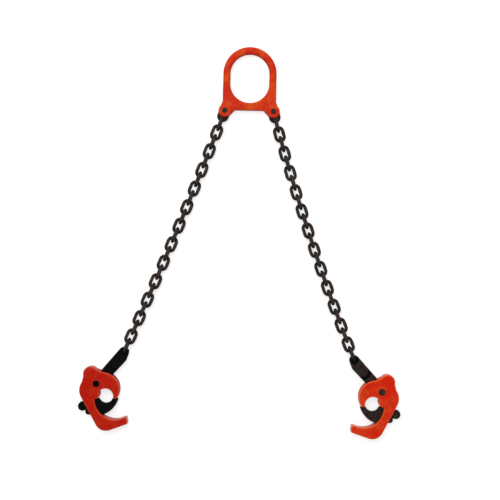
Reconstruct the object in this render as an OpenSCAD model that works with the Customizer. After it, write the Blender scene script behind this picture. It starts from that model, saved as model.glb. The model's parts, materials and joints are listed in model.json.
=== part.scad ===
// Drum lifter: two chain legs, each with a gripping clamp, on one forged master ring.
// It lies flat, as laid out on a floor: +X to the right, +Y towards the ring's crown, +Z up.
// The origin is the middle of the ring's eye, in the middle plane that every piece shares.

/* [Chain] */
// Diameter of the link wire, which every slot, pin and plate thickness follows
wire_d = 7; // [6:0.25:8]
// Play between one link and the next
link_play = 0.3; // [0.2:0.05:0.6]

/* [Ring] */
// Clear width of the eye for the crane hook
eye_w = 80; // [74:0.5:90]
// Clear height of the eye
eye_h = 100; // [92:0.5:116]
// Width of the ring's band
band_w = 14.8; // [13:0.2:17]
// Thickness of the ring
ring_t = 17; // [14:0.5:19]
// Distance between the two ear pins
ear_span = 100; // [96:0.5:108]

/* [Legs] */
// Lean of the left leg at the ring, from straight down
left_lean_top = 19.7; // [16:0.1:25]
// Lean of the left leg at its clamp
left_lean_end = 23.1; // [16:0.1:25]
// Lean of the right leg at the ring
right_lean_top = 16.2; // [16:0.1:25]
// Lean of the right leg at its clamp
right_lean_end = 22.6; // [16:0.1:25]
// Lean of the left lever's arm
left_clamp_lean = 39.9; // [30:0.1:50]
// Lean of the right lever's arm
right_clamp_lean = 42.5; // [30:0.1:50]

/* [Clamp] */
// Length of the lever, from its pivot to its eye
lever_len = 85.6; // [82:0.2:100]
// Width of the lever's arm at the eye
arm_w = 21; // [19:0.5:23]
// Radius of the round throat that takes the drum's rim
throat_r = 16; // [14:0.25:17]
// Diameter of the shank of the pivot pin
pivot_d = 10; // [8:0.5:12]

/* [Hidden] */
$fn = 64;
links = 26;
LEFT = -1;
RIGHT = 1;
sides = [LEFT, RIGHT];

// Clearances
slot_play = 1.5;
cheek_play = 0.7;
turn_play = 0.3;
fit_play = 0.05;
ear_pin_play = 0.5;
eye_play = 0.4;
hollow_play = 1.05;
// How far a cut runs past the face it leaves
eps = 1;
// How deep the end of a straight edge is tucked into the circle that it runs up to
tuck = 0.05;
// Rim of a rivet head round its shank
head_rim = 1.2;

// Link: three wires of inner length, ten sevenths of a wire of inner width
wire_r = wire_d / 2;
link_inner_l = 3 * wire_d;
link_inner_w = wire_d * 10 / 7;
bow_r = (link_inner_w + wire_d) / 2;
link_half = (link_inner_l + wire_d) / 2;
bow_y = link_half - bow_r;
link_outer_r = bow_r + wire_r;
flat_t = 2 * link_outer_r;
link_reach = link_half - wire_d - link_play;
weld_l = wire_d * 0.8;
weld_flat = weld_l / 3;
weld_swell = 1.1;
weld_r = wire_r * weld_swell;

// Ring
ring_edge_r = 4.5;
band_r = (eye_w + band_w) / 2;
eye_straight = eye_h - eye_w;
ring_foot_y = -(eye_h / 2 + band_w);
ear_pin_r = link_inner_w / 2 - ear_pin_play;
ear_head_r = ear_pin_r + head_rim;
ear_head_t = 2.5;
ear_wall = 1;
ear_r = link_outer_r + ear_wall;
ear_drop = 2.8;
ear_y = ring_foot_y - ear_drop;
fork_room = 2.5;
ear_slot_r = ear_r + fork_room;
ear_slot_t = wire_d + slot_play;
first_reach = link_inner_l / 2 - ear_pin_r - link_play;
// Web between the band and an ear: its reach along both, and where it meets the ear
web_in = 1.6 * ear_r;
web_up = 1.5 * ear_r;
web_low_at = 215;
web_high_at = 45;
// Standing second link, which the ears are hollowed out for
second_bow = first_reach + link_half + link_reach - bow_y;
hollow_r = link_outer_r + hollow_play;
hollow_in = 40;
hollow_out = 115;

// Clamp: the lever in the slot between the jaw's two cheeks
lever_t = link_inner_w - slot_play;
jaw_slot_t = lever_t + cheek_play;
arm_lean = 41;
arm_flare = 2;
arm_foot_w = arm_w + arm_flare;
arm_shift = 1;
eye_end_r = arm_w / 2;
// Shoulder of the arm: how far it stands out past the eye's round end, and how far below the eye
shoulder_out = 4.7;
shoulder_drop = 10.6;
shoulder = [eye_end_r + shoulder_out, lever_len - shoulder_drop];
eye_hole_r = wire_r + eye_play;
eye_round_r = link_inner_w / 2 - eye_play;
pad_t = 2 * wire_d;
pad_inset = 0.8;
pad_nose_y = 47;
pad_gap = 6;
pad_gap_r = wire_r + pad_gap;
hub_r = 15.3;
pivot_head_r = pivot_d / 2 + head_rim;
pivot_head_t = 2.5;
throat_x = 19.6;
throat_y = -25.6;
throat_c = [throat_x, throat_y];
mouth_y = -30;
cam_x = -0.5;
cam_y = -19.5;
cam_c = [cam_x, cam_y];
cam_r = 47;
cam_back_x = -22;
cam_back_y = -12;
cam_back = [cam_back_x, cam_back_y];
cam_neck_x = 2;
cam_proud = 1.5;
heel_x = -28.5;
heel_y = -47;
heel_c = [heel_x, heel_y];
heel_r = 9.5;
spur_x = -16;
spur_y = -58;
spur_c = [spur_x, spur_y];
spur_r = 6.5;
slot_reach = 68;
beak_x = 12.5;
beak_y = -11.5;
beak_c = [beak_x, beak_y];
beak_r = 35.5;
head_x = -5;
head_y = -13;
head_c = [head_x, head_y];
head_r = 29;
lobe_x = -11.5;
lobe_y = 20.5;
lobe_c = [lobe_x, lobe_y];
lobe_r = 15;
// How deep the waists beside the lobe lie under the tangents that it shares with beak and head
waist = 2;
bump_x = -2;
bump_y = -21.5;
bump_c = [bump_x, bump_y];
bump_r = 9.5;
gape_x = 39;
gape_y = -31;
gape_c = [gape_x, gape_y];
gape_r = 42;
bend_x = 21;
bend_y = -72.5;
bend_c = [bend_x, bend_y];
bend_r = 24;
tail_tip_x = 62.5;
tail_tip_y = -67.3;
tail_tip = [tail_tip_x, tail_tip_y];
tail_heel_x = 65.2;
tail_heel_y = -82;
tail_heel = [tail_heel_x, tail_heel_y];

// Place of each link and of each clamp
function side_name(side) = side == LEFT ? "left" : "right";
function lean_top(side) = side == LEFT ? left_lean_top : right_lean_top;
function lean_end(side) = side == LEFT ? left_lean_end : right_lean_end;
function clamp_lean(side) = side == LEFT ? left_clamp_lean : right_clamp_lean;
function lean(side, k) = lean_top(side) + (lean_end(side) - lean_top(side)) * (k - 1) / (links - 1);
function along(side, k) = [side * sin(lean(side, k)), -cos(lean(side, k))];
function ear(side) = [side * ear_span / 2, ear_y];
function link_centre(side, k) = k == 1
    ? ear(side) + first_reach * along(side, 1)
    : link_centre(side, k - 1) + link_half * along(side, k - 1) + link_reach * along(side, k);
function eye_point(side) = link_centre(side, links) + link_half * along(side, links);
eye_c = lever_len * [sin(arm_lean), cos(arm_lean)];

// Direction from the centres of two circles to their common tangent, on the right going from a to b
function tangent_way(a, r_a, b, r_b) =
    let (way = (b - a) / norm(b - a), fall = (r_a - r_b) / norm(b - a))
    fall * way + sqrt(1 - fall * fall) * [way.y, -way.x];

function link_name(side, k) = str(side_name(side), "_link_", k < 10 ? "0" : "", k);

// Master ring
module ring_section() {
    square([band_w - 2 * ring_edge_r, ring_t], center = true);
    square([band_w, ring_t - 2 * ring_edge_r], center = true);
    for (x = [-1, 1], y = [-1, 1])
        translate([x * (band_w / 2 - ring_edge_r), y * (ring_t / 2 - ring_edge_r)])
            circle(r = ring_edge_r);
}

module ring_band() {
    for (end = [0, 1])
        mirror([0, end, 0])
            translate([0, eye_straight / 2, 0])
                rotate_extrude(angle = 180)
                    translate([band_r, 0]) ring_section();
    for (side = sides)
        translate([side * band_r, 0, 0])
            rotate([90, 0, 0])
                linear_extrude(eye_straight, center = true) ring_section();
}

// Web that fills the corner between the band and one ear, drawn for the right side
module ear_web() {
    at = ear(RIGHT);
    side_x = band_r + band_w / 2;
    difference() {
        polygon([
            [0, ring_foot_y],
            [at.x - web_in, ring_foot_y],
            at + (ear_r - tuck) * [cos(web_low_at), sin(web_low_at)],
            at,
            at + (ear_r - tuck) * [cos(web_high_at), sin(web_high_at)],
            [side_x, at.y + web_up],
            [side_x, -eye_straight / 2],
            [0, -eye_straight / 2]
        ]);
        translate([0, -eye_straight / 2]) circle(r = band_r);
    }
}

// Hollow in an ear's inner edges, where the standing second link swings
module ear_hollow() {
    rotate(-90 - hollow_in)
        rotate_extrude(angle = hollow_in + hollow_out)
            translate([second_bow, 0]) circle(r = hollow_r);
}

module master_ring() {
    color([0.84, 0.23, 0.08])
    difference() {
        union() {
            ring_band();
            for (side = sides)
                mirror([side == LEFT ? 1 : 0, 0, 0])
                    linear_extrude(ring_t, center = true) ear_web();
            for (side = sides)
                translate(ear(side)) cylinder(r = ear_r, h = flat_t, center = true);
        }
        for (side = sides)
            translate(ear(side)) {
                cylinder(r = ear_slot_r, h = ear_slot_t, center = true);
                cylinder(r = ear_pin_r + fit_play, h = flat_t + eps, center = true);
                for (face = [0, 1])
                    mirror([0, 0, face])
                        translate([0, 0, flat_t / 2 - ear_head_t])
                            cylinder(r = ear_head_r + fit_play, h = ear_head_t + eps);
                mirror([side == LEFT ? 1 : 0, 0, 0]) ear_hollow();
            }
    }
}

// Pin riveted over at both ends, with its heads flush in the outer faces
module riveted_pin(shank_r, head_r, head_t) {
    cylinder(r = shank_r, h = flat_t, center = true);
    for (face = [0, 1])
        mirror([0, 0, face])
            translate([0, 0, flat_t / 2 - head_t])
                cylinder(r = head_r, h = head_t);
}

module ear_pins() {
    color([0.24, 0.24, 0.22])
        for (side = sides)
            translate(ear(side)) riveted_pin(ear_pin_r, ear_head_r, ear_head_t);
}

// Chain: one leg of each link carries the swelling of its weld
module link_shape() {
    for (end = [0, 1])
        mirror([0, end, 0])
            translate([0, bow_y, 0])
                rotate_extrude(angle = 180)
                    translate([bow_r, 0]) circle(r = wire_r);
    translate([-bow_r, 0, 0])
        rotate([90, 0, 0]) cylinder(r = wire_r, h = 2 * bow_y, center = true);
    translate([bow_r, 0, 0])
        rotate([90, 0, 0])
            rotate_extrude()
                polygon([
                    [0, -bow_y],
                    [wire_r, -bow_y],
                    [wire_r, -weld_l / 2],
                    [weld_r, -weld_flat / 2],
                    [weld_r, weld_flat / 2],
                    [wire_r, weld_l / 2],
                    [wire_r, bow_y],
                    [0, bow_y]
                ]);
}

// Odd links lie flat and even ones stand on edge, with the weld on top
module chain_link(side, k) {
    color([0.2, 0.16, 0.14])
        translate(link_centre(side, k))
            rotate(side * lean(side, k))
                rotate([0, k % 2 == 0 ? -90 : 0, 0]) link_shape();
}

// Clamps are drawn for the left leg, with the pivot at the origin, and mirrored for the right one
module clamp_place(side) {
    translate(eye_point(side))
        mirror([side == RIGHT ? 1 : 0, 0, 0])
            rotate(arm_lean - clamp_lean(side))
                translate(-eye_c) children();
}

// Arm, drawn along +Y and then leaned over, with a shoulder on the throat's side of the eye
module arm_strip(grow = 0) {
    eye_at = [0, lever_len];
    shoulder_way = tangent_way(shoulder, 0, eye_at, eye_end_r);
    rotate(-arm_lean)
        polygon([
            [arm_shift - arm_foot_w / 2 - grow, 0],
            [arm_shift + arm_foot_w / 2 + grow, 0],
            shoulder + [grow, 0],
            eye_at + (eye_end_r - tuck + grow) * shoulder_way,
            eye_at,
            eye_at - [eye_end_r - tuck + grow, 0]
        ]);
}

// Cam that shuts the throat from below, with the heel that trips it behind
module cam_outline() {
    difference() {
        intersection() {
            translate(cam_c) circle(r = cam_r);
            translate(cam_back - [0, 2 * cam_r]) square(2 * cam_r);
        }
        translate(throat_c) circle(r = throat_r - cam_proud);
        translate([cam_neck_x, mouth_y - turn_play]) square(2 * cam_r);
    }
    translate(heel_c) circle(r = heel_r);
    translate(spur_c) circle(r = spur_r);
}

module lever_outline() {
    circle(r = hub_r);
    arm_strip();
    translate(eye_c) circle(r = eye_end_r);
    cam_outline();
}

// Thickened upper arm, with a round nose towards the jaw and room for the last link at the eye
module pad_outline() {
    edge_x = eye_end_r - pad_inset;
    nose_r = (edge_x + shoulder.x - 2 * pad_inset) / 2;
    nose = [nose_r - edge_x, pad_nose_y + nose_r];
    difference() {
        rotate(-arm_lean) {
            translate(nose) circle(r = nose_r);
            polygon([
                [tuck - edge_x, nose.y],
                nose + [nose_r - tuck, 0],
                shoulder - [pad_inset, 0],
                [edge_x, lever_len],
                [tuck - edge_x, lever_len]
            ]);
        }
        translate(eye_c) circle(r = pad_gap_r);
    }
}

// Eye with fully rounded edges, which the bow of the last link hooks through
module eye_hole() {
    rotate_extrude()
        difference() {
            translate([0, -lever_t]) square([eye_hole_r + eye_round_r, 2 * lever_t]);
            translate([eye_hole_r + eye_round_r, 0]) circle(r = eye_round_r);
        }
}

module lever(side) {
    color([0.07, 0.065, 0.06])
    clamp_place(side)
        difference() {
            union() {
                linear_extrude(lever_t, center = true) lever_outline();
                linear_extrude(pad_t, center = true) pad_outline();
            }
            translate(eye_c) eye_hole();
            cylinder(d = pivot_d + 2 * fit_play, h = flat_t, center = true);
        }
}

module jaw_outline() {
    back_way = tangent_way(lobe_c, lobe_r, head_c, head_r);
    brow_way = tangent_way(beak_c, beak_r, lobe_c, lobe_r);
    shank_way = tangent_way(head_c, head_r, bend_c, bend_r);
    tail_way = tangent_way(bend_c, bend_r, tail_heel, 0);
    difference() {
        union() {
            translate(beak_c) circle(r = beak_r);
            translate(head_c) circle(r = head_r);
            translate(lobe_c) circle(r = lobe_r);
            polygon([
                beak_c,
                beak_c + (beak_r - waist) * brow_way,
                lobe_c + (lobe_r - waist) * brow_way,
                lobe_c,
                lobe_c + (lobe_r - waist) * back_way,
                head_c + (head_r - waist) * back_way,
                head_c
            ]);
            polygon([
                head_c,
                head_c + (head_r - tuck) * shank_way,
                bend_c + (bend_r - tuck) * shank_way,
                bend_c
            ]);
            translate(bend_c) circle(r = bend_r);
            polygon([
                bend_c,
                bend_c + (bend_r - tuck) * tail_way,
                tail_heel,
                tail_tip,
                gape_c - [0, gape_r]
            ]);
        }
        translate(throat_c) circle(r = throat_r);
        intersection() {
            translate(gape_c) circle(r = gape_r);
            translate([gape_c.x - gape_r, mouth_y - 2 * gape_r]) square(2 * gape_r);
        }
    }
    translate(bump_c) circle(r = bump_r);
}

// Web between the cheeks, in the lobe above the pivot: the arm shuts against it
module lobe_web() {
    difference() {
        translate(lobe_c) circle(r = lobe_r);
        arm_strip(turn_play);
        circle(r = hub_r + turn_play);
    }
}

module jaw(side) {
    color([0.78, 0.14, 0.05])
    clamp_place(side)
        difference() {
            linear_extrude(flat_t, center = true) jaw_outline();
            linear_extrude(jaw_slot_t, center = true)
                difference() {
                    circle(r = slot_reach);
                    lobe_web();
                }
            cylinder(d = pivot_d + 2 * fit_play, h = flat_t + eps, center = true);
            for (face = [0, 1])
                mirror([0, 0, face])
                    translate([0, 0, flat_t / 2 - pivot_head_t])
                        cylinder(r = pivot_head_r + fit_play, h = pivot_head_t + eps);
        }
}

module pivot_pin(side) {
    color([0.24, 0.24, 0.22])
        clamp_place(side) riveted_pin(pivot_d / 2, pivot_head_r, pivot_head_t);
}

master_ring();
ear_pins();
for (side = sides) {
    for (k = [1:links])
        chain_link(side, k);
    lever(side);
    jaw(side);
    pivot_pin(side);
}
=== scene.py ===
# Drum lifter laid out flat: two chain legs with gripping clamps on one forged master ring.
import json
from math import atan2, cos, pi, radians, sin

import bpy
from mathutils import Matrix, Vector


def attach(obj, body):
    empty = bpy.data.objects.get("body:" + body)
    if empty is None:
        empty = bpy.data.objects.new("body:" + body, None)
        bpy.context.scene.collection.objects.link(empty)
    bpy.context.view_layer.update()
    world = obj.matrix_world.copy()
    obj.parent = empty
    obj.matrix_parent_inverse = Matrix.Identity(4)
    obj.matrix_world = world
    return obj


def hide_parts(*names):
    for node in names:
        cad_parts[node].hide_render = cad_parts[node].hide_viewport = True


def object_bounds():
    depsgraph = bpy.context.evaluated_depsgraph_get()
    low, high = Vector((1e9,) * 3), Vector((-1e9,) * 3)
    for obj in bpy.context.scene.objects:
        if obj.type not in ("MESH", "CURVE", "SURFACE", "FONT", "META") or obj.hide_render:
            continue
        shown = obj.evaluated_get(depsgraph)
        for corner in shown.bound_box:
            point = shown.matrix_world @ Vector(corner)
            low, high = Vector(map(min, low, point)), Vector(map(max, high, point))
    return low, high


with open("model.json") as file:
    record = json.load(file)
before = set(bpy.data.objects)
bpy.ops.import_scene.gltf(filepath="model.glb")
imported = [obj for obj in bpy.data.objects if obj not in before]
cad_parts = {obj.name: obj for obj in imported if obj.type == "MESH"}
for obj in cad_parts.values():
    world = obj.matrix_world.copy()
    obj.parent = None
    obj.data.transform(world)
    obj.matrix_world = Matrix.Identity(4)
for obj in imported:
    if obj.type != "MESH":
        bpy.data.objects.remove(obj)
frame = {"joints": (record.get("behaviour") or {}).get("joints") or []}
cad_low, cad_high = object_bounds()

# Studio: a seamless white table in a white room, looked at from straight above.
# A broad soft lamp hangs over the ring's end, a low one beyond it lights the edges that face it,
# and a weaker one fills from the clamps' end, so that only a faint shadow is left.
mm = 0.001
view_centre = (8.4 * mm, -352.1 * mm)
view_width = 1029.4 * mm
view_height = 1.85
view_roll = radians(1.33)
sensor_width = 36
table_width = 12
table_grey = (0.5, 0.5, 0.5, 1)
table_glow = 0.68
room_light = 0.34
room_seen = 1.0

bpy.ops.object.select_all(action="DESELECT")
bpy.ops.mesh.primitive_plane_add(size=table_width, location=(*view_centre, cad_low.z))
table = bpy.context.object
table.name = "table"


def add_node(tree, kind, **settings):
    """One node in a tree, with its plain settings."""
    node = tree.nodes.new(kind)
    for name, value in settings.items():
        setattr(node, name, value)
    return node


def seen_directly(tree):
    """1 for what the camera sees, straight on, in a mirror or through glass."""
    path = add_node(tree, "ShaderNodeLightPath")
    either = add_node(tree, "ShaderNodeMath", operation="MAXIMUM")
    tree.links.new(path.outputs["Is Camera Ray"], either.inputs[0])
    tree.links.new(path.outputs["Is Glossy Ray"], either.inputs[1])
    any_of_three = add_node(tree, "ShaderNodeMath", operation="MAXIMUM")
    tree.links.new(either.outputs[0], any_of_three.inputs[0])
    tree.links.new(path.outputs["Is Transmission Ray"], any_of_three.inputs[1])
    return any_of_three.outputs[0]


table_white = bpy.data.materials.new("table_white")
table_white.use_nodes = True
tree = table_white.node_tree
tree.nodes.clear()
surface = add_node(tree, "ShaderNodeOutputMaterial")
both = add_node(tree, "ShaderNodeAddShader")
matt = add_node(tree, "ShaderNodeBsdfDiffuse")
matt.inputs["Color"].default_value = table_grey
glow = add_node(tree, "ShaderNodeEmission")
share = add_node(tree, "ShaderNodeMath", operation="MULTIPLY")
share.inputs[1].default_value = table_glow
tree.links.new(seen_directly(tree), share.inputs[0])
tree.links.new(share.outputs[0], glow.inputs["Strength"])
tree.links.new(matt.outputs[0], both.inputs[0])
tree.links.new(glow.outputs[0], both.inputs[1])
tree.links.new(both.outputs[0], surface.inputs["Surface"])
table.data.materials.append(table_white)

room = bpy.data.worlds.new("white_room")
bpy.context.scene.world = room
room.use_nodes = True
tree = room.node_tree
sky = tree.nodes["Background"]
sky.inputs["Color"].default_value = (1, 1, 1, 1)
level = add_node(tree, "ShaderNodeMapRange")
level.inputs["To Min"].default_value = room_light
level.inputs["To Max"].default_value = room_seen
tree.links.new(seen_directly(tree), level.inputs["Value"])
tree.links.new(level.outputs["Result"], sky.inputs["Strength"])


def hang_lamp(name, at, towards, width, watts):
    """A square soft lamp that faces a point on the table."""
    bpy.ops.object.select_all(action="DESELECT")
    bpy.ops.object.light_add(type="AREA", location=at)
    lamp = bpy.context.object
    lamp.name = name
    lamp.data.size = width
    lamp.data.energy = watts
    lamp.rotation_euler = (Vector(towards) - Vector(at)).to_track_quat("-Z", "Y").to_euler()


hang_lamp("key_lamp", at=(-0.35, 0.3, 1.9), towards=(0, -0.35, 0), width=1.1, watts=20.5)
hang_lamp("fill_lamp", at=(0.9, -1.5, 1.6), towards=(0, -0.4, 0), width=1.6, watts=5)
hang_lamp("edge_lamp", at=(-0.1, 2.6, 0.9), towards=(0, -0.5, 0), width=1.6, watts=44)

bpy.ops.object.select_all(action="DESELECT")
bpy.ops.object.camera_add(location=(*view_centre, view_height), rotation=(0, 0, view_roll))
camera = bpy.context.object
camera.data.sensor_width = sensor_width
camera.data.lens = sensor_width * view_height / view_width
bpy.context.scene.camera = camera
bpy.context.scene.view_settings.view_transform = "Standard"

# Places of the pieces: every hinge of the frame, by name, as a point on the pieces' middle plane.
hinge_at = {joint["name"]: Vector(joint["pos_m"]) for joint in frame["joints"]}

# Master ring: an oblong lifting eye drop-forged from one bar, with a bottom bar and two forked ears.
# The forging leaves broad round edges; the forks and the pin holes are milled afterwards,
# and the whole is painted orange-red.
eye_width = 80 * mm
eye_height = 100 * mm
band_width = 14.8 * mm
ring_thickness = 17 * mm
ring_edge = 4.5 * mm
ear_radius = 13 * mm
piece_thickness = 24 * mm
fork_gap = 8.5 * mm
fork_room = 2.5 * mm
ear_pin_radius = 4.5 * mm
rivet_head_radius = 5.7 * mm
rivet_head_depth = 2.5 * mm
merge_gap = 0.001 * mm
crease_angle = radians(38)


def end_of_work():
    """Back to object mode with nothing selected."""
    if bpy.context.object and bpy.context.object.mode != "OBJECT":
        bpy.ops.object.mode_set(mode="OBJECT")
    bpy.ops.object.select_all(action="DESELECT")


def work_on(piece):
    """Makes one piece the only selected and active one."""
    end_of_work()
    bpy.context.view_layer.objects.active = piece
    piece.select_set(True)


def round_disc(centre, radius, depth, segments=96):
    """A round blank that stands on the middle plane."""
    end_of_work()
    bpy.ops.mesh.primitive_cylinder_add(
        vertices=segments, radius=radius, depth=depth, location=(centre[0], centre[1], 0)
    )
    bpy.ops.object.transform_apply()
    return bpy.context.object


def cut_plate(corners, depth):
    """A flat blank cut to those corners."""
    end_of_work()
    bpy.ops.mesh.primitive_circle_add(vertices=len(corners), fill_type="NGON")
    blank = bpy.context.object
    for vertex, corner in zip(blank.data.vertices, corners):
        vertex.co = (corner[0], corner[1], -depth / 2)
    bpy.ops.object.mode_set(mode="EDIT")
    bpy.ops.mesh.select_all(action="SELECT")
    bpy.ops.mesh.extrude_region_move(TRANSFORM_OT_translate={"value": (0, 0, depth)})
    bpy.ops.mesh.select_all(action="SELECT")
    bpy.ops.mesh.normals_make_consistent(inside=False)
    bpy.ops.object.mode_set(mode="OBJECT")
    return blank


def joined(*blanks):
    """Several blanks as one object, before they are forged together."""
    work_on(blanks[0])
    for blank in blanks[1:]:
        blank.select_set(True)
    bpy.ops.object.join()
    return blanks[0]


def apply_all(piece):
    """Applies a piece's modifiers in order."""
    work_on(piece)
    for modifier in list(piece.modifiers):
        bpy.ops.object.modifier_apply(modifier=modifier.name)


def boolean(piece, tool, operation):
    """Adds a tool's shape to a piece, takes it away or keeps what both share."""
    change = piece.modifiers.new("change", "BOOLEAN")
    change.operation = operation
    change.solver = "EXACT"
    change.object = tool
    apply_all(piece)
    bpy.data.objects.remove(tool)


def forge(piece, grain, passes):
    """Melts blanks into one skin and rounds its edges over, as a die does."""
    skin = piece.modifiers.new("skin", "REMESH")
    skin.mode = "VOXEL"
    skin.voxel_size = grain
    worn = piece.modifiers.new("worn", "SMOOTH")
    worn.factor = 0.5
    worn.iterations = passes
    apply_all(piece)


def show_piece(piece, name, material, body, slot, *nodes):
    """Names a finished piece, gives it its finish and hands it to the frame."""
    work_on(piece)
    bpy.ops.object.shade_smooth_by_angle(angle=crease_angle)
    piece.name = name
    piece.data.name = name
    piece.data.materials.clear()
    piece.data.materials.append(material)
    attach(piece, body)
    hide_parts(*nodes)
    end_of_work()


def group_tree(name, inputs, outputs):
    """A shader group with named sockets: {name: default} for numbers and colours."""
    group = bpy.data.node_groups.new(name, "ShaderNodeTree")
    for label, value in inputs.items():
        kind = "NodeSocketColor" if isinstance(value, tuple) else "NodeSocketFloat"
        socket = group.interface.new_socket(label, in_out="INPUT", socket_type=kind)
        socket.default_value = value
    for label, kind in outputs.items():
        group.interface.new_socket(label, in_out="OUTPUT", socket_type=kind)
    return group, add_node(group, "NodeGroupInput"), add_node(group, "NodeGroupOutput")


# paint: thick and mottled, thinner and paler on the edges, where the paler colour is also a painted
# highlight on edges that catch the light, darker in the hollows, and black where grease has crept out
paint_coat, given, made = group_tree(
    "paint_coat",
    {
        "Paint": (0.6, 0.05, 0.01, 1),
        "Thin Paint And Highlight": (0.75, 0.16, 0.03, 1),
        "Hollow Dark": (0.09, 0.03, 0.02, 1),
        "Mottle": 0.5,
        "Edge Thinning And Highlight": 0.6,
        "Hollow Dark Amount": 0.5,
        "Grease": 0.0,
        "Roughness": 0.4,
    },
    {"Color": "NodeSocketColor", "Roughness": "NodeSocketFloat", "Height": "NodeSocketFloat"},
)
tree = paint_coat
where = add_node(tree, "ShaderNodeTexCoord")
blotches = add_node(tree, "ShaderNodeTexNoise")
blotches.inputs["Scale"].default_value = 55
blotches.inputs["Detail"].default_value = 5
blotches.inputs["Roughness"].default_value = 0.6
tree.links.new(where.outputs["Object"], blotches.inputs["Vector"])
spots = add_node(tree, "ShaderNodeMapRange")
spots.inputs["From Min"].default_value = 0.42
spots.inputs["From Max"].default_value = 0.68
tree.links.new(blotches.outputs["Fac"], spots.inputs["Value"])
spot_share = add_node(tree, "ShaderNodeMath", operation="MULTIPLY")
tree.links.new(spots.outputs["Result"], spot_share.inputs[0])
tree.links.new(given.outputs["Mottle"], spot_share.inputs[1])
mottled = add_node(tree, "ShaderNodeMix", data_type="RGBA")
tree.links.new(spot_share.outputs[0], mottled.inputs["Factor"])
tree.links.new(given.outputs["Paint"], mottled.inputs["A"])
tree.links.new(given.outputs["Thin Paint And Highlight"], mottled.inputs["B"])

shape = add_node(tree, "ShaderNodeNewGeometry")
# ridges: the paler colour is thin paint, and also a painted highlight where round edges catch the
# light
ridge = add_node(tree, "ShaderNodeMapRange")
ridge.inputs["From Min"].default_value = 0.502
ridge.inputs["From Max"].default_value = 0.535
tree.links.new(shape.outputs["Pointiness"], ridge.inputs["Value"])
edge_share = add_node(tree, "ShaderNodeMath", operation="MULTIPLY")
tree.links.new(ridge.outputs["Result"], edge_share.inputs[0])
tree.links.new(given.outputs["Edge Thinning And Highlight"], edge_share.inputs[1])
edge_paled = add_node(tree, "ShaderNodeMix", data_type="RGBA")
tree.links.new(edge_share.outputs[0], edge_paled.inputs["Factor"])
tree.links.new(mottled.outputs["Result"], edge_paled.inputs["A"])
tree.links.new(given.outputs["Thin Paint And Highlight"], edge_paled.inputs["B"])

# hollows, found from the surface's curvature, are mixed towards the darker colour
hollow = add_node(tree, "ShaderNodeMapRange")
hollow.inputs["From Min"].default_value = 0.495
hollow.inputs["From Max"].default_value = 0.43
tree.links.new(shape.outputs["Pointiness"], hollow.inputs["Value"])
hollow_share = add_node(tree, "ShaderNodeMath", operation="MULTIPLY")
tree.links.new(hollow.outputs["Result"], hollow_share.inputs[0])
tree.links.new(given.outputs["Hollow Dark Amount"], hollow_share.inputs[1])
hollow_darkened = add_node(tree, "ShaderNodeMix", data_type="RGBA")
tree.links.new(hollow_share.outputs[0], hollow_darkened.inputs["Factor"])
tree.links.new(edge_paled.outputs["Result"], hollow_darkened.inputs["A"])
tree.links.new(given.outputs["Hollow Dark"], hollow_darkened.inputs["B"])
greased = add_node(tree, "ShaderNodeMix", data_type="RGBA")
tree.links.new(given.outputs["Grease"], greased.inputs["Factor"])
tree.links.new(hollow_darkened.outputs["Result"], greased.inputs["A"])
greased.inputs["B"].default_value = (0.004, 0.003, 0.003, 1)
tree.links.new(greased.outputs["Result"], made.inputs["Color"])

peel = add_node(tree, "ShaderNodeTexNoise")
peel.inputs["Scale"].default_value = 420
peel.inputs["Detail"].default_value = 3
tree.links.new(where.outputs["Object"], peel.inputs["Vector"])
tree.links.new(peel.outputs["Fac"], made.inputs["Height"])
dulled = add_node(tree, "ShaderNodeMath", operation="MULTIPLY_ADD")
tree.links.new(blotches.outputs["Fac"], dulled.inputs[0])
dulled.inputs[1].default_value = 0.18
tree.links.new(given.outputs["Roughness"], dulled.inputs[2])
tree.links.new(dulled.outputs[0], made.inputs["Roughness"])


def coated(name, group, values, metallic, gloss, bump, depth):
    """A material that takes its colour, roughness and height from a group."""
    material = bpy.data.materials.new(name)
    material.use_nodes = True
    tree = material.node_tree
    shader = tree.nodes["Principled BSDF"]
    shader.inputs["Metallic"].default_value = metallic
    shader.inputs["Specular IOR Level"].default_value = gloss
    coat = add_node(tree, "ShaderNodeGroup", node_tree=group)
    for label, value in values.items():
        coat.inputs[label].default_value = value
    relief = add_node(tree, "ShaderNodeBump")
    relief.inputs["Strength"].default_value = bump
    relief.inputs["Distance"].default_value = depth
    tree.links.new(coat.outputs["Color"], shader.inputs["Base Color"])
    tree.links.new(coat.outputs["Roughness"], shader.inputs["Roughness"])
    tree.links.new(coat.outputs["Height"], relief.inputs["Height"])
    tree.links.new(relief.outputs["Normal"], shader.inputs["Normal"])
    return material


ring_paint = coated(
    "ring_paint",
    paint_coat,
    {
        "Paint": (0.54, 0.013, 0.001, 1),
        "Thin Paint And Highlight": (0.67, 0.080, 0.003, 1),
        "Hollow Dark": (0.24, 0.012, 0.003, 1),
        "Mottle": 0.8,
        "Edge Thinning And Highlight": 0.15,
        "Hollow Dark Amount": 0.5,
        "Roughness": 0.4,
    },
    metallic=0.0,
    gloss=0.08,
    bump=0.25,
    depth=0.3 * mm,
)

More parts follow.
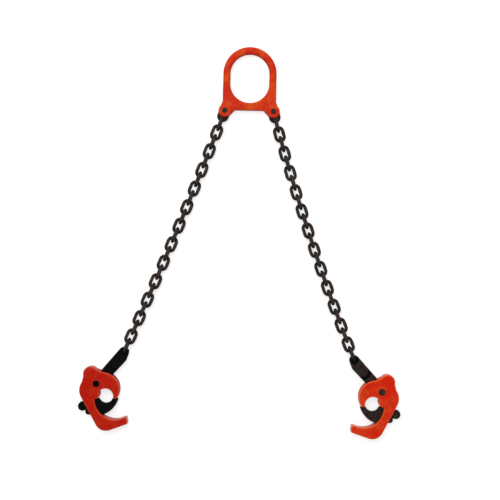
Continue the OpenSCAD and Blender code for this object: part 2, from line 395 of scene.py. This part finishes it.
# band: one rounded section swept round, and its two halves drawn apart to the eye's height
band_radius = (eye_width + band_width) / 2
straight = eye_height - eye_width
band_steps = 96
end_of_work()
bpy.ops.mesh.primitive_plane_add(size=1, location=(band_radius, 0, 0), rotation=(pi / 2, 0, 0))
band = bpy.context.object
band.scale = (band_width, ring_thickness, 1)
bpy.ops.object.transform_apply()
band.rotation_euler = (0, 0, pi / band_steps)
bpy.ops.object.transform_apply()
bpy.ops.object.mode_set(mode="EDIT")
bpy.ops.mesh.select_all(action="SELECT")
bpy.ops.mesh.bevel(offset=ring_edge, segments=6, affect="VERTICES")
bpy.ops.mesh.delete(type="ONLY_FACE")
bpy.ops.mesh.select_all(action="SELECT")
bpy.ops.mesh.spin(steps=band_steps, angle=2 * pi, center=(0, 0, 0), axis=(0, 0, 1))
bpy.ops.mesh.select_all(action="SELECT")
bpy.ops.mesh.remove_doubles(threshold=merge_gap)
bpy.ops.mesh.normals_make_consistent(inside=False)
bpy.ops.object.mode_set(mode="OBJECT")


def pick_points(piece, test):
    """In edit mode, with only the points that pass the test selected."""
    work_on(piece)
    bpy.ops.object.mode_set(mode="EDIT")
    bpy.ops.mesh.select_mode(type="VERT")
    bpy.ops.mesh.select_all(action="DESELECT")
    bpy.ops.object.mode_set(mode="OBJECT")
    for point in piece.data.vertices:
        point.select = test(point.co)
    bpy.ops.object.mode_set(mode="EDIT")


def draw_apart(piece, gap):
    """Moves the two ends of a round piece apart along Y, so that its sides run straight between."""
    for end in (1, -1):
        pick_points(piece, lambda at: at.y * end > 0)
        bpy.ops.transform.translate(value=(0, end * gap / 2, 0))
        bpy.ops.object.mode_set(mode="OBJECT")


draw_apart(band, straight)

# webs and ears: plates that fill the corners of the band, and round bosses at their ends
foot_y = -(eye_height / 2 + band_width)
web_overlap = 2 * mm
web_foot = 1.6 * ear_radius
web_rise = 1.5 * ear_radius
low_turn = radians(215)
high_turn = radians(45)
blanks = [band]
ears = [hinge_at["left_leg_swing"], hinge_at["right_leg_swing"]]
for ear in ears:
    out = 1 if ear.x > 0 else -1
    low_way = Vector((out * cos(low_turn), sin(low_turn), 0))
    high_way = Vector((out * cos(high_turn), sin(high_turn), 0))
    side_x = out * (band_radius + band_width / 2)
    web = cut_plate(
        [
            (-out * web_overlap, foot_y),
            (ear.x - out * web_foot, foot_y),
            ear + ear_radius * low_way,
            ear,
            ear + ear_radius * high_way,
            (side_x, ear.y + web_rise),
            (side_x, -straight / 2),
            (-out * web_overlap, -straight / 2),
        ],
        ring_thickness,
    )
    boolean(web, round_disc((0, -straight / 2), band_radius, piece_thickness), "DIFFERENCE")
    blanks += [web, round_disc(ear, ear_radius, piece_thickness)]
ring = joined(*blanks)
forge(ring, grain=0.8 * mm, passes=12)

# forks and holes, milled and drilled after the forging, with room for the standing second link
hollow_radius = 13.05 * mm
hollow_reach = 20.9 * mm
hollow_turn = radians(155)
hollow_from = radians(25)
hollow_sides = 48
hollow_steps = 32
for ear in ears:
    out = 1 if ear.x > 0 else -1
    boolean(ring, round_disc(ear, ear_radius + fork_room, fork_gap), "DIFFERENCE")
    boolean(ring, round_disc(ear, ear_pin_radius, 2 * piece_thickness), "DIFFERENCE")
    for face in (1, -1):
        recess = round_disc(ear, rivet_head_radius, 2 * rivet_head_depth)
        recess.data.transform(Matrix.Translation((0, 0, face * piece_thickness / 2)))
        boolean(ring, recess, "DIFFERENCE")
    end_of_work()
    bpy.ops.mesh.primitive_circle_add(
        vertices=hollow_sides,
        radius=hollow_radius,
        fill_type="NGON",
        location=(hollow_reach, 0, 0),
        rotation=(pi / 2, 0, 0),
    )
    bpy.ops.object.transform_apply()
    groove = bpy.context.object
    bpy.ops.object.mode_set(mode="EDIT")
    bpy.ops.mesh.select_all(action="SELECT")
    bpy.ops.mesh.spin(steps=hollow_steps, angle=hollow_turn, center=(0, 0, 0), axis=(0, 0, 1))
    bpy.ops.mesh.select_all(action="SELECT")
    bpy.ops.mesh.remove_doubles(threshold=merge_gap)
    bpy.ops.object.mode_set(mode="OBJECT")
    flip = Matrix.Diagonal((out, 1, 1, 1))
    groove.data.transform(Matrix.Translation(ear) @ flip @ Matrix.Rotation(hollow_from, 4, "Z"))
    bpy.ops.object.mode_set(mode="EDIT")
    bpy.ops.mesh.select_all(action="SELECT")
    bpy.ops.mesh.normals_make_consistent(inside=False)
    boolean(ring, groove, "DIFFERENCE")
show_piece(ring, "ring_forging", ring_paint, "ring", "ring_paint", "master_ring")

# Ear pins: two steel rivets through the ears, with the first link of each leg on their shanks.
# Each is turned from bar and riveted over at both ends, so that its heads lie in the ears' faces
# as low domes.
rivet_play = 0.05 * mm
dome_rise = 0.7 * mm
dome_rows = ((0.93, 0.4 * mm), (0.8, 0.2 * mm), (0.5, 0.1 * mm))
end_facing = 0.9


def pick_faces(piece, test):
    """In edit mode, with only the faces that pass the test selected."""
    work_on(piece)
    bpy.ops.object.mode_set(mode="EDIT")
    bpy.ops.mesh.select_mode(type="FACE")
    bpy.ops.mesh.select_all(action="DESELECT")
    bpy.ops.object.mode_set(mode="OBJECT")
    for face in piece.data.polygons:
        face.select = test(face)
    bpy.ops.object.mode_set(mode="EDIT")


def rivet(centre, shank_radius, head_radius, head_depth):
    """A pin with a low domed head at both ends."""
    pin = round_disc(centre, shank_radius, piece_thickness - 2 * head_depth, segments=48)
    for end in (1, -1):
        pick_faces(pin, lambda face: face.normal.z * end > end_facing)
        middle = (centre[0], centre[1], 0)
        # flange, straight rim and dome, each row from the row before
        flange = (head_radius / shank_radius, 0)
        rim = (1, head_depth - dome_rise)
        for spread, rise in (flange, rim, *dome_rows):
            bpy.ops.mesh.extrude_region_move(TRANSFORM_OT_translate={"value": (0, 0, end * rise)})
            bpy.ops.transform.resize(value=(spread, spread, 1), center_override=middle)
        bpy.ops.object.mode_set(mode="OBJECT")
    return pin


# steel: black from the fire, bloomed in patches, pitted, and rubbed paler on the edges
steel_skin, given, made = group_tree(
    "steel_skin",
    {
        "Steel": (0.05, 0.045, 0.04, 1),
        "Bloom": (0.06, 0.035, 0.02, 1),
        "Bare": (0.3, 0.29, 0.28, 1),
        "Bloom Amount": 0.5,
        "Edge Rub": 0.3,
        "Roughness": 0.4,
    },
    {"Color": "NodeSocketColor", "Roughness": "NodeSocketFloat", "Height": "NodeSocketFloat"},
)
tree = steel_skin
where = add_node(tree, "ShaderNodeTexCoord")
patches = add_node(tree, "ShaderNodeTexNoise")
patches.inputs["Scale"].default_value = 130
patches.inputs["Detail"].default_value = 6
patches.inputs["Roughness"].default_value = 0.65
tree.links.new(where.outputs["Object"], patches.inputs["Vector"])
bloomed = add_node(tree, "ShaderNodeMapRange")
bloomed.inputs["From Min"].default_value = 0.4
bloomed.inputs["From Max"].default_value = 0.65
bloomed.inputs["To Min"].default_value = 0.35
tree.links.new(patches.outputs["Fac"], bloomed.inputs["Value"])
bloom_share = add_node(tree, "ShaderNodeMath", operation="MULTIPLY")
tree.links.new(bloomed.outputs["Result"], bloom_share.inputs[0])
tree.links.new(given.outputs["Bloom Amount"], bloom_share.inputs[1])
browned = add_node(tree, "ShaderNodeMix", data_type="RGBA")
tree.links.new(bloom_share.outputs[0], browned.inputs["Factor"])
tree.links.new(given.outputs["Steel"], browned.inputs["A"])
tree.links.new(given.outputs["Bloom"], browned.inputs["B"])
shape = add_node(tree, "ShaderNodeNewGeometry")
ridge = add_node(tree, "ShaderNodeMapRange")
ridge.inputs["From Min"].default_value = 0.51
ridge.inputs["From Max"].default_value = 0.58
tree.links.new(shape.outputs["Pointiness"], ridge.inputs["Value"])
ridge_share = add_node(tree, "ShaderNodeMath", operation="MULTIPLY")
tree.links.new(ridge.outputs["Result"], ridge_share.inputs[0])
tree.links.new(given.outputs["Edge Rub"], ridge_share.inputs[1])
bared = add_node(tree, "ShaderNodeMix", data_type="RGBA")
tree.links.new(ridge_share.outputs[0], bared.inputs["Factor"])
tree.links.new(browned.outputs["Result"], bared.inputs["A"])
tree.links.new(given.outputs["Bare"], bared.inputs["B"])
tree.links.new(bared.outputs["Result"], made.inputs["Color"])
pits = add_node(tree, "ShaderNodeTexNoise")
pits.inputs["Scale"].default_value = 700
pits.inputs["Detail"].default_value = 4
tree.links.new(where.outputs["Object"], pits.inputs["Vector"])
tree.links.new(pits.outputs["Fac"], made.inputs["Height"])
dulled = add_node(tree, "ShaderNodeMath", operation="MULTIPLY_ADD")
tree.links.new(patches.outputs["Fac"], dulled.inputs[0])
dulled.inputs[1].default_value = 0.25
tree.links.new(given.outputs["Roughness"], dulled.inputs[2])
tree.links.new(dulled.outputs[0], made.inputs["Roughness"])


def rivet_finish(name, steel, worn, gloss):
    """Blackened rivet steel, worn at the rim of its heads."""
    return coated(
        name,
        steel_skin,
        {
            "Steel": steel,
            "Bloom": worn,
            "Bare": worn,
            "Bloom Amount": 0.5,
            "Edge Rub": 0.4,
            "Roughness": 0.38,
        },
        metallic=0.0,
        gloss=gloss,
        bump=0.2,
        depth=0.15 * mm,
    )


rivet_steel = rivet_finish(
    "rivet_steel", steel=(0.020, 0.012, 0.010, 1), worn=(0.048, 0.036, 0.029, 1), gloss=0.06
)
ear_rivets = joined(
    *[
        rivet(ear, ear_pin_radius - rivet_play, rivet_head_radius - rivet_play, rivet_head_depth)
        for ear in ears
    ]
)
show_piece(ear_rivets, "ear_rivets", rivet_steel, "ring", "pin_steel", "ear_pins")

# Chain: two legs of 26 short links, each bent from a length of round bar and butt-welded on one leg.
# The weld leaves a low collar; the bar is blackened and browned in patches along its legs,
# while the bows stay black: oil where link bears on link, and painted shade where they curve down out
# of the light.
wire = 7 * mm
bow_radius = 8.5 * mm
leg_length = 11 * mm
links_a_leg = 26
bow_steps = 48
wire_sides = 24

end_of_work()
bpy.ops.mesh.primitive_torus_add(
    major_radius=bow_radius,
    minor_radius=wire / 2,
    major_segments=bow_steps,
    minor_segments=wire_sides,
    rotation=(0, 0, pi / bow_steps),
)
bpy.ops.object.transform_apply()
link = bpy.context.object
draw_apart(link, leg_length)

# rows along the straight legs, and the collar of the weld on one of them
work_on(link)
bpy.ops.object.mode_set(mode="EDIT")
bpy.ops.mesh.select_mode(type="EDGE")
bpy.ops.mesh.select_all(action="DESELECT")
bpy.ops.object.mode_set(mode="OBJECT")
for edge in link.data.edges:
    start, end = (link.data.vertices[k].co for k in edge.vertices)
    edge.select = start.y * end.y < 0
bpy.ops.object.mode_set(mode="EDIT")
bpy.ops.mesh.subdivide(number_cuts=6)
weld_rows = ((0.9 * mm, 1.1), (2.65 * mm, 1.05))
row_reach = 0.4 * mm
for row, swell in weld_rows:
    pick_points(link, lambda at: at.x > 0 and abs(abs(at.y) - row) < row_reach)
    bpy.ops.transform.resize(value=(swell, 1, swell), center_override=(bow_radius, 0, 0))
end_of_work()

# how far each point is browned: fully on the legs, not at all at the ends of the bows, which stay
# black as oil and painted shade
bow_depth = bow_radius + wire / 4
browned = link.data.attributes.new("browned", "FLOAT", "POINT")
for point, value in zip(link.data.vertices, browned.data):
    into_bow = (abs(point.co.y) - leg_length / 2) / bow_depth
    value.value = min(1, max(0, 1 - into_bow))


def marked_by_points(material, mark_name, effect):
    """Lets a mark on the points of a piece set how strong an effect of its finish is."""
    tree = material.node_tree
    mark = add_node(tree, "ShaderNodeAttribute", attribute_name=mark_name)
    skin = next(node for node in tree.nodes if node.type == "GROUP")
    tree.links.new(mark.outputs["Fac"], skin.inputs[effect])


chain_steel = coated(
    "chain_steel",
    steel_skin,
    {
        "Steel": (0.008, 0.006, 0.005, 1),
        "Bloom": (0.052, 0.035, 0.028, 1),
        "Bare": (0.085, 0.074, 0.064, 1),
        "Edge Rub": 0.2,
        "Roughness": 0.36,
    },
    metallic=0.0,
    gloss=0.06,
    bump=0.3,
    depth=0.2 * mm,
)
marked_by_points(chain_steel, "browned", "Bloom Amount")

link_reach = 6.7 * mm
first_reach = 5.7 * mm
black_bow_reach = 12 * mm
black_bow_fade = 4 * mm
for side in ("left", "right"):
    # each link hangs from its own hinge and runs towards the next one
    hinges = [hinge_at[f"{side}_leg_swing"]]
    hinges += [hinge_at[f"{side}_link_{k:02d}_swing"] for k in range(2, links_a_leg + 1)]
    hinges.append(hinge_at[f"{side}_lever_swing"])
    for k in range(1, links_a_leg + 1):
        way = (hinges[k] - hinges[k - 1]).normalized()
        centre = hinges[k - 1] + (first_reach if k == 1 else link_reach) * way
        turn = Matrix.Rotation(atan2(way.y, way.x) + pi / 2, 4, "Z")
        stand = Matrix.Rotation(-pi / 2 if k % 2 == 0 else 0, 4, "Y")
        copy = bpy.data.objects.new("link", link.data.copy())
        bpy.context.scene.collection.objects.link(copy)
        copy.data.transform(Matrix.Translation(centre) @ turn @ stand)
        if k == links_a_leg:
            # the last bow is kept as black as the lever's eye that it turns in: grease, and painted
            # shade in the eye
            for point, value in zip(copy.data.vertices, copy.data.attributes["browned"].data):
                from_eye = (point.co - hinges[k]).length
                value.value *= min(1, max(0, (from_eye - black_bow_reach) / black_bow_fade))
        node = f"{side}_link_{k:02d}"
        show_piece(copy, f"{node}_welded", chain_steel, node, "chain_steel", node)
bpy.data.objects.remove(link)

# Levers: one to each clamp, drop-forged flat steel with an eye for the last link, a thickened grip,
# a pivot hub, and below it the cam that shuts the throat and the heel that trips it open.
# They are blackened, and the right one has gone brown with wear.
lever_thickness = 8.5 * mm
lever_length = (hinge_at["left_lever_swing"] - hinge_at["left_jaw_open"]).length
arm_lean = radians(41)
arm_way = Vector((sin(arm_lean), cos(arm_lean), 0))
arm_across = Vector((cos(arm_lean), -sin(arm_lean), 0))
arm_half = 10.5 * mm
arm_foot = (-10.5 * mm, 12.5 * mm)
eye_local = lever_length * arm_way
shoulder_out = 15.2 * mm
shoulder_drop = 10.6 * mm
shoulder = shoulder_out * arm_across + (lever_length - shoulder_drop) * arm_way
hub_radius = 15.3 * mm
pivot_radius = 5 * mm
throat_centre = Vector((19.6, -25.6, 0)) * mm
throat_radius = 16 * mm
mouth_y = -30 * mm
shut_play = 0.3 * mm


def common_edge(a, radius_a, b, radius_b):
    """From the centres of two discs to the straight edge that they share, on the right from a to b."""
    way = (b - a).normalized()
    fall = (radius_a - radius_b) / (b - a).length
    return fall * way + (1 - fall * fall) ** 0.5 * Vector((way.y, -way.x, 0))


def arm_plate(grow, depth):
    """The arm of a lever, from its pivot to its eye, with a shoulder on the throat's side."""
    shoulder_way = common_edge(shoulder, 0, eye_local, arm_half)
    return cut_plate(
        [
            (arm_foot[0] - grow) * arm_across,
            (arm_foot[1] + grow) * arm_across,
            shoulder + grow * arm_across,
            eye_local + (arm_half + grow) * shoulder_way,
            eye_local - (arm_half + grow) * arm_across,
        ],
        depth,
    )


def box_plate(low, high, depth):
    """A rectangle between two corners, as a plate."""
    return cut_plate([low, (high[0], low[1]), high, (low[0], high[1])], depth)


# cam: a disc trimmed at the back, hollowed by the throat and cut away above the mouth
cam_centre = Vector((-0.5, -19.5, 0)) * mm
cam_radius = 47 * mm
cam_lip = 1.5 * mm
cam_kept = ((-22 * mm, -104 * mm), (70 * mm, -12 * mm))
mouth_cut = ((2 * mm, mouth_y - shut_play), (94 * mm, 60 * mm))
cam = round_disc(cam_centre, cam_radius, lever_thickness, segments=128)
boolean(cam, box_plate(*cam_kept, piece_thickness), "INTERSECT")
boolean(cam, round_disc(throat_centre, throat_radius - cam_lip, piece_thickness), "DIFFERENCE")
boolean(cam, box_plate(*mouth_cut, piece_thickness), "DIFFERENCE")

# grip: the thickened upper arm, with a round nose and room for the last link
grip_thickness = 14 * mm
grip_inset = 0.8 * mm
grip_edge = arm_half - grip_inset
grip_from = 47 * mm
nose_radius = 11.65 * mm
nose = (nose_radius - grip_edge) * arm_across + (grip_from + nose_radius) * arm_way
link_room = 9.5 * mm
grip = cut_plate(
    [
        nose - nose_radius * arm_across,
        nose + nose_radius * arm_across,
        shoulder - grip_inset * arm_across,
        eye_local + grip_edge * arm_across,
        eye_local - grip_edge * arm_across,
    ],
    grip_thickness,
)
boolean(grip, round_disc(nose, nose_radius, grip_thickness), "UNION")
boolean(grip, round_disc(eye_local, link_room, piece_thickness), "DIFFERENCE")

# heel: a round end that trips the clamp, with a small spur below it
heel_centre = (-28.5 * mm, -47 * mm)
heel_radius = 9.5 * mm
spur_centre = (-16 * mm, -58 * mm)
spur_radius = 6.5 * mm
lever = joined(
    round_disc((0, 0), hub_radius, lever_thickness),
    arm_plate(0, lever_thickness),
    round_disc(eye_local, arm_half, lever_thickness),
    cam,
    round_disc(heel_centre, heel_radius, lever_thickness),
    round_disc(spur_centre, spur_radius, lever_thickness),
    grip,
)
forge(lever, grain=0.7 * mm, passes=6)

# eye: a spool-shaped hole, round all through and just clear of the link's bow that turns in it
eye_round = 4.6 * mm
eye_waist = 3.52 * mm
spool = round_disc(eye_local, eye_waist + eye_round, 2 * lever_thickness)
end_of_work()
bpy.ops.mesh.primitive_torus_add(
    major_radius=eye_waist + eye_round,
    minor_radius=eye_round,
    major_segments=96,
    minor_segments=48,
    location=eye_local,
)
bpy.ops.object.transform_apply()
boolean(spool, bpy.context.object, "DIFFERENCE")
boolean(lever, spool, "DIFFERENCE")
boolean(lever, round_disc((0, 0), pivot_radius + rivet_play, piece_thickness), "DIFFERENCE")


def placed_clamp_piece(piece, side):
    """A copy of a clamp's piece at its place on one leg; the right clamp mirrors the left one."""
    eye = hinge_at[f"{side}_lever_swing"]
    pivot = hinge_at[f"{side}_jaw_open"]
    flip = Matrix.Diagonal((-1 if side == "right" else 1, 1, 1, 1))
    reach = flip @ (eye - pivot)
    turn = atan2(reach.y, reach.x) - atan2(eye_local.y, eye_local.x)
    copy = bpy.data.objects.new(f"{side}_{piece.name}", piece.data.copy())
    bpy.context.scene.collection.objects.link(copy)
    copy.data.transform(Matrix.Translation(pivot) @ flip @ Matrix.Rotation(turn, 4, "Z"))
    work_on(copy)
    bpy.ops.object.mode_set(mode="EDIT")
    bpy.ops.mesh.select_all(action="SELECT")
    bpy.ops.mesh.normals_make_consistent(inside=False)
    end_of_work()
    return copy


# browned all over but for black round the eye, which is grease and painted shade in the hole's mouth,
# and a band of painted shade under the grip's nose, where the grip steps down to the arm
eye_black_reach = 7.5 * mm
nose_shade_width = 6.5 * mm
dark_fade = 2 * mm
browned = lever.data.attributes.new("browned", "FLOAT", "POINT")
for point, value in zip(lever.data.vertices, browned.data):
    from_nose = Vector((point.co.x, point.co.y, 0)) - nose
    beyond = from_nose.length - nose_radius
    from_eye = (Vector((point.co.x, point.co.y, 0)) - eye_local).length
    clear = [(from_eye - eye_black_reach) / dark_fade, 1]
    if from_nose.dot(arm_way) < 0 and beyond > 0:
        clear.append((beyond - nose_shade_width) / dark_fade)
    value.value = max(0, min(clear))

lever_finishes = {
    "left": {"Bloom": (0.003, 0.003, 0.003, 1), "Bare": (0.012, 0.012, 0.012, 1)},
    "right": {"Bloom": (0.042, 0.029, 0.026, 1), "Bare": (0.050, 0.042, 0.040, 1)},
}
for side, finish in lever_finishes.items():
    node = f"{side}_lever"
    lever_black = coated(
        f"{side}_lever_black",
        steel_skin,
        {
            "Steel": (0.001, 0.001, 0.001, 1),
            **finish,
            "Edge Rub": 0.3,
            "Roughness": 0.42,
        },
        metallic=0.0,
        gloss=0.035,
        bump=0.3,
        depth=0.25 * mm,
    )
    marked_by_points(lever_black, "browned", "Bloom Amount")
    show_piece(
        placed_clamp_piece(lever, side), f"{node}_forging", lever_black, node, "lever_black", node
    )
bpy.data.objects.remove(lever)

# Jaws: steel castings of two cheeks with a slot for the lever between them.
# Beak and throat take the drum's rim, the nub bites under it, the lobe carries the web that the arm
# shuts against, and the long tail hooks below. The edges are cast round and painted like the ring.
jaw_slot = 9.2 * mm
slot_radius = 68 * mm
beak_centre = Vector((12.5, -11.5, 0)) * mm
beak_radius = 35.5 * mm
head_centre = Vector((-5, -13, 0)) * mm
head_radius = 29 * mm
lobe_centre = Vector((-11.5, 20.5, 0)) * mm
lobe_radius = 15 * mm
bend_centre = Vector((21, -72.5, 0)) * mm
bend_radius = 24 * mm
tail_tip = Vector((62.5, -67.3, 0)) * mm
tail_heel = Vector((65.2, -82, 0)) * mm
gape_centre = Vector((39, -31, 0)) * mm
gape_radius = 42 * mm
gape_side = ((-10 * mm, -120 * mm), (90 * mm, mouth_y))
nub_centre = (-2 * mm, -21.5 * mm)
nub_radius = 9.5 * mm
waist = 2 * mm
brow_way = common_edge(beak_centre, beak_radius, lobe_centre, lobe_radius)
back_way = common_edge(lobe_centre, lobe_radius, head_centre, head_radius)
shank_way = common_edge(head_centre, head_radius, bend_centre, bend_radius)
tail_way = common_edge(bend_centre, bend_radius, tail_heel, 0)
body_blanks = [
    round_disc(beak_centre, beak_radius, piece_thickness, segments=128),
    round_disc(head_centre, head_radius, piece_thickness, segments=128),
    round_disc(lobe_centre, lobe_radius, piece_thickness),
    cut_plate(
        [
            beak_centre,
            beak_centre + (beak_radius - waist) * brow_way,
            lobe_centre + (lobe_radius - waist) * brow_way,
            lobe_centre,
            lobe_centre + (lobe_radius - waist) * back_way,
            head_centre + (head_radius - waist) * back_way,
            head_centre,
        ],
        piece_thickness,
    ),
    cut_plate(
        [
            head_centre,
            head_centre + head_radius * shank_way,
            bend_centre + bend_radius * shank_way,
            bend_centre,
        ],
        piece_thickness,
    ),
    round_disc(bend_centre, bend_radius, piece_thickness, segments=128),
    cut_plate(
        [
            bend_centre,
            bend_centre + bend_radius * tail_way,
            tail_heel,
            tail_tip,
            gape_centre - Vector((0, gape_radius, 0)),
        ],
        piece_thickness,
    ),
]
nub = round_disc(nub_centre, nub_radius, piece_thickness)


def slot_tool():
    """The room between the cheeks: a flat disc round the pivot, without the web in the lobe."""
    web = round_disc(lobe_centre, lobe_radius, piece_thickness)
    boolean(web, arm_plate(shut_play, 2 * piece_thickness), "DIFFERENCE")
    boolean(web, round_disc((0, 0), hub_radius + shut_play, 2 * piece_thickness), "DIFFERENCE")
    room = round_disc((0, 0), slot_radius, jaw_slot, segments=128)
    boolean(room, web, "DIFFERENCE")
    return room


for blank in body_blanks:
    gape = round_disc(gape_centre, gape_radius, 2 * piece_thickness, segments=128)
    boolean(gape, box_plate(*gape_side, 3 * piece_thickness), "INTERSECT")
    boolean(blank, round_disc(throat_centre, throat_radius, 2 * piece_thickness), "DIFFERENCE")
    boolean(blank, gape, "DIFFERENCE")
for blank in body_blanks + [nub]:
    boolean(blank, slot_tool(), "DIFFERENCE")
jaw = joined(*body_blanks, nub)
forge(jaw, grain=0.8 * mm, passes=12)

# the solid ends, the tail and the lobe, are rounded over further than the cheeks
tail_from = -52 * mm
lobe_from = 10 * mm
rounding_fade = 12 * mm
solid_ends = jaw.vertex_groups.new(name="solid_ends")
for point in jaw.data.vertices:
    past = max(tail_from - point.co.y, point.co.y - lobe_from)
    solid_ends.add([point.index], min(1, max(0, past / rounding_fade)), "REPLACE")
rounding = jaw.modifiers.new("rounding", "SMOOTH")
rounding.factor = 0.5
rounding.iterations = 30
rounding.vertex_group = solid_ends.name
apply_all(jaw)
jaw.vertex_groups.clear()

pivot_head_radius = 6.2 * mm
pivot_head_depth = 2.5 * mm
boolean(jaw, round_disc((0, 0), pivot_radius + rivet_play, 2 * piece_thickness), "DIFFERENCE")
for face in (1, -1):
    recess = round_disc((0, 0), pivot_head_radius + rivet_play, 2 * pivot_head_depth)
    recess.data.transform(Matrix.Translation((0, 0, face * piece_thickness / 2)))
    boolean(jaw, recess, "DIFFERENCE")

# grease that has crept out round the pivot, a little more on the throat's side
grease_centre = Vector((0.8, 0.3, 0)) * mm
grease_radius = 7.8 * mm
grease_rim = 1.2 * mm
greased = jaw.data.attributes.new("greased", "FLOAT", "POINT")
for point, value in zip(jaw.data.vertices, greased.data):
    reach = (Vector((point.co.x, point.co.y, 0)) - grease_centre).length
    value.value = min(1, max(0, (grease_radius - reach) / grease_rim))

jaw_paints = {
    "left": {"Paint": (0.49, 0.008, 0.002, 1), "Thin Paint And Highlight": (0.60, 0.085, 0.022, 1), "Mottle": 0.2},
    "right": {"Paint": (0.67, 0.016, 0.001, 1), "Thin Paint And Highlight": (0.78, 0.15, 0.025, 1), "Mottle": 0.3},
}
for side in ("left", "right"):
    node = f"{side}_jaw"
    jaw_paint = coated(
        f"{side}_jaw_paint",
        paint_coat,
        {
            "Hollow Dark": (0.16, 0.008, 0.003, 1),
            # very pale edges: thin paint, and a painted highlight on the round edges that catch the
            # light
            "Edge Thinning And Highlight": 0.95,
            "Hollow Dark Amount": 0.4,
            "Roughness": 0.15,
            **jaw_paints[side],
        },
        metallic=0.0,
        gloss=0.07,
        bump=0.25,
        depth=0.3 * mm,
    )
    marked_by_points(jaw_paint, "greased", "Grease")
    show_piece(placed_clamp_piece(jaw, side), f"{node}_casting", jaw_paint, node, "jaw_paint", node)
bpy.data.objects.remove(jaw)

# Pivot pins: one steel rivet through each jaw and its lever, on which the jaw opens.
# The heads are riveted over in shallow recesses of the cheeks.
pivot_finishes = {
    "left": rivet_finish(
        "left_pivot_steel", steel=(0.001, 0.001, 0.001, 1), worn=(0.003, 0.003, 0.003, 1), gloss=0.02
    ),
    "right": rivet_steel,
}
for side, finish in pivot_finishes.items():
    pin = rivet((0, 0), pivot_radius, pivot_head_radius, pivot_head_depth)
    placed = placed_clamp_piece(pin, side)
    bpy.data.objects.remove(pin)
    show_piece(placed, f"{side}_pivot_rivet", finish, f"{side}_jaw", "pin_steel", f"{side}_pivot_pin")
